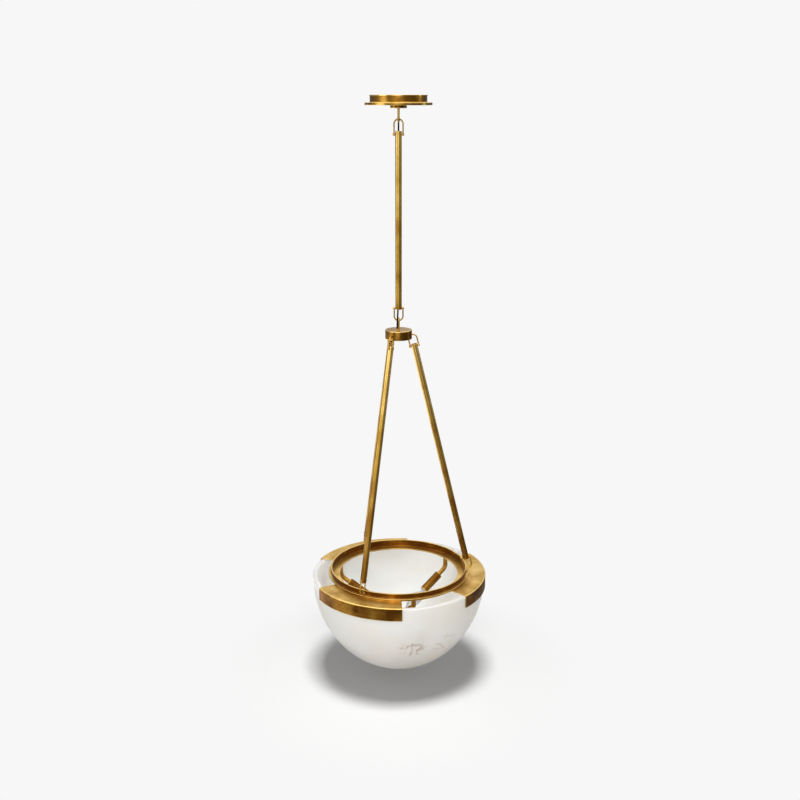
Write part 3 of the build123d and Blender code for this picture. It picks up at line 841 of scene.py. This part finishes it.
# Hanger rods
# Three drawn brass tubes that lean out from the hub to the ring, each pinned in a wire shackle at both ends.
# The upper shackles hang through the hub's side, and the lower ones hook through the ring's band.
rod_span = (rod_head - rod_foot).length
rod_margin = 4.5
hook_length = 32.0
rod_brass = aged_brass("rod_brass", "drawn", 0.38, fade=0.58, fade_length=0.6)
for number, angle in enumerate(rod_angles, start=1):
    body = f"rod_{number}"
    turn = Matrix.Rotation(radians(angle), 4, "Z")
    head_place = turn @ Matrix.Translation(rod_head * mm) @ Matrix.Rotation(-rod_lean, 4, "Y")
    foot_place = head_place @ Matrix.Translation((0, 0, -rod_span * mm))
    rod_tube = tube(-rod_span - rod_margin, rod_margin)
    piece(f"{body}_tube", [rod_tube], body, rod_brass, [body], head_place)
    head_wire = shackle(head_shackle_length)
    piece(f"{body}_head_shackle", head_wire, "hub", wire_brass, [f"{body}_top_shackle"], head_place)
    piece(f"{body}_head_pin", [rivet_pin()], "hub", pin_brass, [f"{body}_top_pin"], head_place)
    hook_wire = shackle(hook_length)
    hook_place = foot_place @ upside_down
    piece(f"{body}_hook", hook_wire, body, wire_brass, [f"{body}_foot_shackle"], hook_place)
    piece(f"{body}_hook_pin", [rivet_pin()], body, pin_brass, [f"{body}_foot_pin"], foot_place)

# Ring
# A rolled brass band with a wide flange brazed inside its foot and a narrow one round its outside.
# It carries the rim caps, the bowl and the lamps, and hangs on the rods' hooks.
band_radius = 180.5
band_bore = 177.5
inner_edge = 157.0
outer_edge = 187.0
band_hole_radius = 4.2
band_hole_depth = 6.0
inner_flange_thickness = 2.5
outer_flange_thickness = 4.0
band_foot, band_head = levels("ring")
cap_foot, cap_head = levels("rim_cap_1")
ring_outline = [
    (band_bore, band_head, 0.5),
    (band_radius, band_head, 0.5),
    (band_radius, cap_head + outer_flange_thickness, 0.3),
    (outer_edge, cap_head + outer_flange_thickness, 0.7),
    (outer_edge, cap_head, 0.3),
    (band_radius, cap_head, 0.0),
    (band_radius, band_foot, 0.4),
    (inner_edge, band_foot, 0.6),
    (inner_edge, band_foot + inner_flange_thickness, 0.6),
    (band_bore, band_foot + inner_flange_thickness, 0.4),
]
ring_brass = aged_brass("ring_brass", "spun", 0.93, crown=0.82)
ring_band = piece("ring_band", [turned(ring_outline, 256)], "bowl", ring_brass, ["ring"])
band_wall = band_radius - band_bore
drilled(ring_band, band_hole_radius, band_radius - band_wall / 2, band_head - band_hole_depth, 2 * band_wall)

# Rim caps
# Three arcs of brass with a turned-down skirt, brazed under the ring's outer flange.
# They lie over the bowl's rim and their skirts hide the joint.
cap_arcs = ((-42.0, 31.0), (84.0, 158.0), (207.4, 272.3))
cap_inner = 180.8
cap_radius = 231.8
cap_bore = 229.6
cap_plate = 2.5
cap_end_ease = 0.4
cap_outline = [
    (cap_inner, cap_head, 0.2),
    (cap_radius, cap_head, 2.0),
    (cap_radius, cap_foot, 0.5),
    (cap_bore, cap_foot, 0.3),
    (cap_bore, cap_head - cap_plate, 0.3),
    (cap_inner, cap_head - cap_plate, 0.2),
]
cap_brass = aged_brass("cap_brass", "spun", 0.48, crown=0.52)
for number, (start, end) in enumerate(cap_arcs, start=1):
    cap_form = turned(cap_outline, 96, start, end - start)
    cap = piece(f"rim_cap_{number}_plate", [cap_form], "bowl", cap_brass, [f"rim_cap_{number}"])
    eased = cap.modifiers.new("eased_ends", "BEVEL")
    eased.width = cap_end_ease * mm
    eased.segments = 2
    eased.limit_method = "ANGLE"
    eased.angle_limit = radians(round_crease)

# Bowl
# A deep round bowl turned and hollowed from one block of white alabaster, with a satin polish.
# The stone lets light a little way in, and thin brown veins gather low on one side.
bowl_radius = 229.2
bowl_wall = 12.0
bowl_foot, rim_z = levels("bowl")
bowl_depth = rim_z - bowl_foot
rim_round = 2.0
rim_strip = 2.4


def bowl_form(segments=224, steps=72, rim_steps=6):
    """The bowl's wall: up the outside, over a softly eased rim and down the inside."""
    turns = [pi / 2 * step / steps for step in range(steps + 1)]
    inner_radius, inner_depth = bowl_radius - bowl_wall, bowl_depth - bowl_wall
    outside = [(bowl_radius * cos(turn), -bowl_depth * sin(turn)) for turn in turns]
    inside = [(inner_radius * cos(turn), -inner_depth * sin(turn)) for turn in turns]
    rim = []
    for side, first in ((bowl_radius - rim_round, 0), (inner_radius + rim_round, rim_steps)):
        for step in range(first, first + rim_steps + 1):
            turn = pi / 2 * step / rim_steps
            rim.append((side + rim_round * cos(turn), -rim_round + rim_round * sin(turn)))
    outer_wall = [spot for spot in outside[::-1] if spot[1] < -rim_strip]
    inner_wall = [spot for spot in inside if spot[1] < -rim_strip]
    path = outer_wall + rim + inner_wall
    count = len(path)
    points, faces = [], []
    for segment in range(segments):
        angle = 2 * pi * segment / segments
        after = (segment + 1) % segments
        points += [Vector((r * cos(angle), r * sin(angle), rim_z + z)) for r, z in path]
        for spot in range(count - 1):
            here, there = segment * count + spot, after * count + spot
            faces.append((here, here + 1, there + 1, there))
    return points, faces, [0.0] * len(points)


# The stone's colours, and the spots of the bowl, in metres, where its veins gather or just tint it
stone_shade = (0.89, 0.85, 0.79)
stone_white = (0.94, 0.915, 0.876)
vein_brown = (0.40, 0.27, 0.16, 1.0)
vein_depth = 0.52
tint_share = 0.15
vein_spots = ((0.034, -0.196, -1.36), 0.046), ((0.114, -0.165, -1.358), 0.044)
tint_spots = ((0.182, -0.127, -1.3), 0.05), ((-0.158, -0.088, -1.394), 0.05)
vein_core = 0.35
stone_satin = 0.36
light_depth = 0.014
light_spread = (1.0, 0.92, 0.84)

# How closely the clouds, the veins, the gaps in the veins and the grain of the stone lie, per metre
cloud_scale = 9.0
vein_scale = 21.0
vein_gap_scale = 40.0
grain_scale = 60.0


def alabaster(name):
    """White alabaster: cloudy, satin, a little translucent, with fine brown veins in a few places."""
    material, tree, shader, spot = new_material(name)
    place = spot.outputs["Object"]
    shader.inputs["Roughness"].default_value = stone_satin
    shader.inputs["Subsurface Weight"].default_value = 1.0
    shader.inputs["Subsurface Radius"].default_value = light_spread
    shader.inputs["Subsurface Scale"].default_value = light_depth

    def near(centre, reach):
        """1 near a point of the bowl and 0 beyond reach."""
        gap = tree.nodes.new("ShaderNodeVectorMath")
        gap.operation = "DISTANCE"
        gap.inputs[1].default_value = centre
        tree.links.new(place, gap.inputs[0])
        return spread(tree, gap.outputs["Value"], reach, reach * vein_core)

    clouds = ramp(tree, noise(tree, place, cloud_scale, 6.0, 0.6), ((0.3, stone_shade), (0.72, stone_white)))
    ridge = sums(tree, "ABSOLUTE", sums(tree, "SUBTRACT", noise(tree, place, vein_scale, 3.0, 1.6), 0.5))
    thread = spread(tree, ridge, 0.045, 0.008)
    veined, tinted = [
        sums(tree, "MAXIMUM", near(*first), near(*second)) for first, second in (vein_spots, tint_spots)
    ]
    places = sums(tree, "MAXIMUM", veined, sums(tree, "MULTIPLY", tinted, tint_share))
    patchy = spread(tree, noise(tree, place, vein_gap_scale), 0.28, 0.5)
    veins = sums(tree, "MULTIPLY", sums(tree, "MULTIPLY", thread, places), patchy)
    stained = tree.nodes.new("ShaderNodeMix")
    stained.data_type = "RGBA"
    stained.inputs["B"].default_value = vein_brown
    tree.links.new(sums(tree, "MULTIPLY", veins, vein_depth), stained.inputs["Factor"])
    tree.links.new(clouds, stained.inputs["A"])
    tree.links.new(stained.outputs["Result"], shader.inputs["Base Color"])
    relief(tree, shader, noise(tree, place, grain_scale, 3.0), strength=0.06, distance=0.001)
    return material


white_alabaster = alabaster("white_alabaster")
stone_bowl = piece(
    "alabaster_bowl", [bowl_form()], "bowl", white_alabaster, ["bowl"], crease=round_crease
)

# Seat strips
# Thin strips of firm pale rubber, cut to the caps' arcs and bonded along the bowl's rim,
# so that the brass never bears on the stone. Their edges are pressed a little round.
seat_width = 10.0
seat_round = 0.4
seat_foot, seat_head = levels("rim_pad_1")
seat_outline = [
    (bowl_radius - seat_width, seat_foot, seat_round),
    (bowl_radius, seat_foot, seat_round),
    (bowl_radius, seat_head, seat_round),
    (bowl_radius - seat_width, seat_head, seat_round),
]
seat_rubber = mottled("seat_rubber", (0.60, 0.57, 0.52), (0.74, 0.72, 0.68), 160.0, 0.7)
for number, (start, end) in enumerate(cap_arcs, start=1):
    seat_form = turned(seat_outline, 96, start, end - start, wear_and_highlight=0.0)
    piece(f"rim_seat_{number}", [seat_form], "bowl", seat_rubber, [f"rim_pad_{number}"])

# Lamps
# Three bent brass arms brazed under the ring's inner flange, each with a brass sleeve over a ceramic holder.
# A frosted candle bulb with a small screw base points down towards the middle of the bowl.
lamp_angles = (37.5, 165.0, 283.5)
lamp_tilt = radians(32.0)
arm_radius = 5.9
arm_bore = 4.9
arm_circle = inner_edge + 6.0
arm_drop = 28.5
arm_reach = 28.3
arm_bend = 20.0
sleeve_radius = 10.8
sleeve_bore = 9.6
sleeve_length = 62.0
sleeve_cap = 2.0
holder_foot = 22.0
holder_gap = 0.1
base_radius = 5.9
base_foot = 38.0
base_top = 63.0
base_pitch = 2.5
base_thread_depth = 0.6
base_collar_foot = base_top - 5.2
base_thread_top = base_top - 5.0
base_tip_top = base_foot + 4.2
base_thread_foot = base_foot + 4.0
base_collar_radius = 5.6
base_lip_radius = 5.75
base_tip_radius = 2.4
base_shoulder_radius = 4.6
bulb_wall = 0.8
bulb_profile = (
    (5.6, 0.0), (6.4, 1.0), (6.4, 6.0), (7.6, 10.0), (10.2, 14.5), (13.2, 19.5),
    (15.2, 24.0), (16.0, 28.5), (15.7, 34.0), (14.3, 41.0), (12.1, 48.0), (9.4, 55.5),
    (6.8, 62.5), (4.6, 68.5), (3.0, 73.0), (1.7, 76.2), (0.0, 78.0),
)


def arm_path(steps=12):
    """Down from the flange, round the bend and on along the lamp's own axis."""
    top = Vector((arm_circle, 0, band_foot))
    corner = top - Vector((0, 0, arm_drop))
    down, way = Vector((0, 0, -1)), Vector((-cos(lamp_tilt), 0, -sin(lamp_tilt)))
    whole_turn = acos(down.dot(way))
    centre = corner - down * arm_bend * tan(whole_turn / 2) - Vector((arm_bend, 0, 0))
    turns = [whole_turn * step / steps for step in range(steps + 1)]
    bend = [centre + Vector((cos(turn), 0, -sin(turn))) * arm_bend for turn in turns]
    end = corner + way * (arm_reach + sleeve_cap)
    return [top] + bend + [end], corner + way * arm_reach, way


def frosted_glass(name):
    """Thin frosted glass, white from inside."""
    material, tree, shader, spot = new_material(name)
    shader.inputs["IOR"].default_value = 1.47
    shader.inputs["Transmission Weight"].default_value = 0.45
    frost = noise(tree, spot.outputs["Object"], 1500.0)
    tint = ramp(tree, frost, ((0.0, (0.86, 0.85, 0.83)), (1.0, (0.94, 0.94, 0.93))))
    tree.links.new(tint, shader.inputs["Base Color"])
    tree.links.new(spread(tree, frost, 0.0, 1.0, 0.3, 0.42), shader.inputs["Roughness"])
    return material


def bulb_form():
    """A thin glass candle: the outer skin from neck to tip and the inner skin back again."""
    outer = [(r, base_top + z, 0.0) for r, z in bulb_profile]
    inner = [(max(r - bulb_wall, 0.0), z - (bulb_wall if r == 0 else 0.0), 0.0) for r, z, _ in outer[::-1]]
    return turned(outer + inner, 64)


def screw_base():
    """The bulb's rolled thread over a plain collar and a solder tip."""
    thread = threaded(
        base_radius, base_thread_top, base_thread_foot, base_pitch, base_thread_depth, steps_per_turn=10
    )
    collar = [
        (0.0, base_collar_foot, 0.0),
        (base_collar_radius, base_collar_foot, 0.3),
        (base_lip_radius, base_top, 0.3),
        (0.0, base_top, 0.0),
    ]
    tip = [
        (0.0, base_foot, 0.0),
        (base_tip_radius, base_foot, 0.8),
        (base_shoulder_radius, base_tip_top, 0.6),
        (0.0, base_tip_top, 0.0),
    ]
    return [thread, turned(collar, 48), turned(tip, 48)]


arm_line, sleeve_start, lamp_way = arm_path()
lamp_axis = Matrix.Translation(sleeve_start * mm) @ lamp_way.to_track_quat("Z", "Y").to_matrix().to_4x4()
sleeve_outline = [
    (arm_radius, 0.0, 0.2),
    (sleeve_radius, 0.0, 0.7),
    (sleeve_radius, sleeve_length, 0.4),
    (sleeve_bore, sleeve_length, 0.3),
    (sleeve_bore, sleeve_cap, 0.3),
    (arm_radius, sleeve_cap, 0.2),
]
holder_outline = [
    (0.0, holder_foot, 0.0),
    (sleeve_bore - holder_gap, holder_foot, 0.6),
    (sleeve_bore - holder_gap, sleeve_length, 0.5),
    (base_radius + holder_gap, sleeve_length, 0.5),
    (base_radius + holder_gap, base_foot, 0.2),
    (0.0, base_foot, 0.0),
]
arm_brass = aged_brass("arm_brass", "flat", 0.4)
sleeve_brass = aged_brass("sleeve_brass", "drawn", 0.5)
holder_ceramic = mottled("holder_ceramic", (0.66, 0.65, 0.62), (0.82, 0.81, 0.79), 1100.0, 0.62)
bulb_frost = frosted_glass("bulb_frost")
base_metal = zinc_steel("base_metal")
for number, angle in enumerate(lamp_angles, start=1):
    lamp = f"lamp_{number}"
    turn = Matrix.Rotation(radians(angle), 4, "Z")
    place = turn @ lamp_axis
    arm_form = bar(arm_line, arm_radius, 32, arm_bore)
    cup_form, socket_form = turned(sleeve_outline, 64), turned(holder_outline, 64)
    base_forms, candle_form = screw_base(), bulb_form()
    socket_solid, base_solid, bulb_solid = [[f"{lamp}_{solid}"] for solid in ("holder", "base", "bulb")]
    piece(f"{lamp}_bent_arm", [arm_form], "bowl", arm_brass, [f"{lamp}_arm"], turn)
    piece(f"{lamp}_cup", [cup_form], "bowl", sleeve_brass, [f"{lamp}_sleeve"], place)
    piece(f"{lamp}_socket", [socket_form], "bowl", holder_ceramic, socket_solid, place)
    piece(f"{lamp}_screw_base", base_forms, "bowl", base_metal, base_solid, place, round_crease)
    piece(f"{lamp}_candle", [candle_form], "bowl", bulb_frost, bulb_solid, place, round_crease)

# Floor, light and camera
# A pale floor just under the bowl takes its soft shadow and fades into a white surround.
# Broad soft panels stand overhead, in front and to the sides, as in a small studio.
floor_drop = 0.034
floor_radius = 0.62
floor_fade_start = 0.36
floor_fade_end = 0.58
floor_white = 0.8
surround = 0.93
room_light = 0.31


def floor_paint():
    """Matt pale floor that turns into the white surround towards its edge."""
    material, tree, shader, spot = new_material("pale_floor")
    tree.nodes.remove(shader)
    matt = tree.nodes.new("ShaderNodeBsdfDiffuse")
    matt.inputs["Color"].default_value = (floor_white, floor_white, floor_white, 1.0)
    white = tree.nodes.new("ShaderNodeEmission")
    white.inputs["Color"].default_value = (surround, surround, surround, 1.0)
    distance = tree.nodes.new("ShaderNodeVectorMath")
    distance.operation = "LENGTH"
    tree.links.new(spot.outputs["Object"], distance.inputs[0])
    mixed = tree.nodes.new("ShaderNodeMixShader")
    whiteness = spread(tree, distance.outputs["Value"], floor_fade_start, floor_fade_end)
    tree.links.new(whiteness, mixed.inputs[0])
    tree.links.new(matt.outputs[0], mixed.inputs[1])
    tree.links.new(white.outputs[0], mixed.inputs[2])
    tree.links.new(mixed.outputs[0], tree.nodes["Material Output"].inputs["Surface"])
    return material


floor_z = bowl_foot * mm - floor_drop
floor_place = (0, 0, floor_z)
bpy.ops.mesh.primitive_circle_add(vertices=128, radius=floor_radius, fill_type="NGON", location=floor_place)
floor = bpy.context.object
floor.name = "pale_floor"
floor.data.materials.append(floor_paint())
floor.visible_diffuse = False

# The room: an even grey for the light that it gives, white to the eye, and in reflections a dark wall
# under a white ceiling, with a pale floor on the left
world = bpy.data.worlds.new("white_studio")
bpy.context.scene.world = world
world.use_nodes = True
sky = world.node_tree
ray = sky.nodes.new("ShaderNodeLightPath")
way = sky.nodes.new("ShaderNodeTexCoord")
way_axes = sky.nodes.new("ShaderNodeSeparateXYZ")
sky.links.new(way.outputs["Generated"], way_axes.inputs[0])
rise, side = way_axes.outputs["Z"], way_axes.outputs["X"]
leftward = sums(sky, "SUBTRACT", sums(sky, "MULTIPLY", way_axes.outputs["Y"], 0.8), side)
left_wall, right_wall = 0.2, 0.12
left_floor = 1.7
wall_share = spread(sky, side, 0.2, 0.8, left_wall, right_wall)
floor_side = spread(sky, leftward, 0.2, 1.1, 0.0, left_floor)
floor_share = sums(sky, "MULTIPLY", spread(sky, rise, -0.12, -0.34), floor_side)
ceiling_share = spread(sky, rise, 0.02, 0.3, 0.0, surround)
mirrored = sums(sky, "MAXIMUM", sums(sky, "MAXIMUM", floor_share, ceiling_share), wall_share)


def chosen(share, first, second):
    """The first colour, or the second where the share is 1."""
    made = sky.nodes.new("ShaderNodeMix")
    made.data_type = "RGBA"
    for socket, value in (("Factor", share), ("A", first), ("B", second)):
        if isinstance(value, tuple):
            made.inputs[socket].default_value = value
        else:
            sky.links.new(value, made.inputs[socket])
    return made.outputs["Result"]


seen = sums(sky, "MAXIMUM", ray.outputs["Is Camera Ray"], ray.outputs["Is Transmission Ray"])
room = chosen(ray.outputs["Is Glossy Ray"], (room_light, room_light, room_light, 1.0), mirrored)
shown = chosen(seen, room, (surround, surround, surround, 1.0))
sky.links.new(shown, sky.nodes["Background"].inputs["Color"])

# The floor has a lamp of its own, so that the soft panels do not wash its shadow out,
# and the stone has one more panel than the brass, which would mirror it
floor_alone = bpy.data.collections.new("floor_alone")
floor_alone.objects.link(floor)
all_but_floor = bpy.data.collections.new("all_but_floor")
all_but_floor.objects.link(floor)
all_but_floor.collection_objects[0].light_linking.link_state = "EXCLUDE"
stone_alone = bpy.data.collections.new("stone_alone")
stone_alone.objects.link(stone_bowl)


def soft_panel(name, place, aim, width, tall, power, lit):
    """A rectangular soft lamp turned towards a point, with the collection that it lights."""
    lamp = bpy.data.lights.new(name, "AREA")
    lamp.shape = "RECTANGLE"
    lamp.size = width
    lamp.size_y = tall
    lamp.energy = power
    holder = bpy.data.objects.new(name, lamp)
    holder.location = place
    holder.rotation_euler = (Vector(aim) - Vector(place)).to_track_quat("-Z", "Y").to_euler()
    holder.light_linking.receiver_collection = lit
    bpy.context.scene.collection.objects.link(holder)


soft_panel("floor_lamp", (0.0, -1.6, 7.0), (0, 0, -1.5), 2.0, 2.0, 640.0, floor_alone)
soft_panel("overhead_panel", (0.0, -0.5, 2.2), (0, -0.5, -1.3), 5.0, 5.0, 98.0, all_but_floor)
soft_panel("high_front_panel", (0.0, -3.4, 1.6), (0, 0, -1.25), 2.4, 1.8, 24.0, all_but_floor)
soft_panel("front_panel", (-0.6, -4.2, -0.4), (0, 0, -0.8), 2.8, 2.6, 26.0, all_but_floor)
soft_panel("left_panel", (-3.6, -1.7, -0.4), (0, 0, -0.8), 2.2, 2.6, 30.0, all_but_floor)
soft_panel("right_panel", (3.7, 0.4, -0.4), (0, 0, -0.8), 0.5, 2.6, 6.0, all_but_floor)
soft_panel("stone_panel", (0.4, -4.2, -1.0), (0, 0, -1.2), 1.6, 2.6, 38.0, stone_alone)

# A small lamp in the bowl stands for the light that a white room throws back and forth inside it
fill_depth = -1.275
fill = bpy.data.lights.new("bowl_fill", "POINT")
fill.energy = 0.5
fill.color = (0.78, 0.9, 1.0)
fill.shadow_soft_size = 0.04
fill_holder = bpy.data.objects.new("bowl_fill", fill)
fill_holder.location = (0.0, 0.0, fill_depth)
fill_holder.light_linking.receiver_collection = stone_alone
fill_holder.visible_camera = False
fill_holder.visible_glossy = False
bpy.context.scene.collection.objects.link(fill_holder)

# The camera stands in front, a little above the canopy's flange, and looks down at the bowl
camera_down = 15.14
camera_data = bpy.data.cameras.new("photo_camera")
camera_data.lens = 50.0
camera_data.sensor_width = 36.0
camera = bpy.data.objects.new("photo_camera", camera_data)
camera.location = (0.0036, -2.7566, -0.0105)
camera.rotation_euler = (radians(90.0 - camera_down), 0.0, 0.0)
bpy.context.scene.collection.objects.link(camera)
bpy.context.scene.camera = camera
bpy.context.scene.view_settings.view_transform = "Standard"
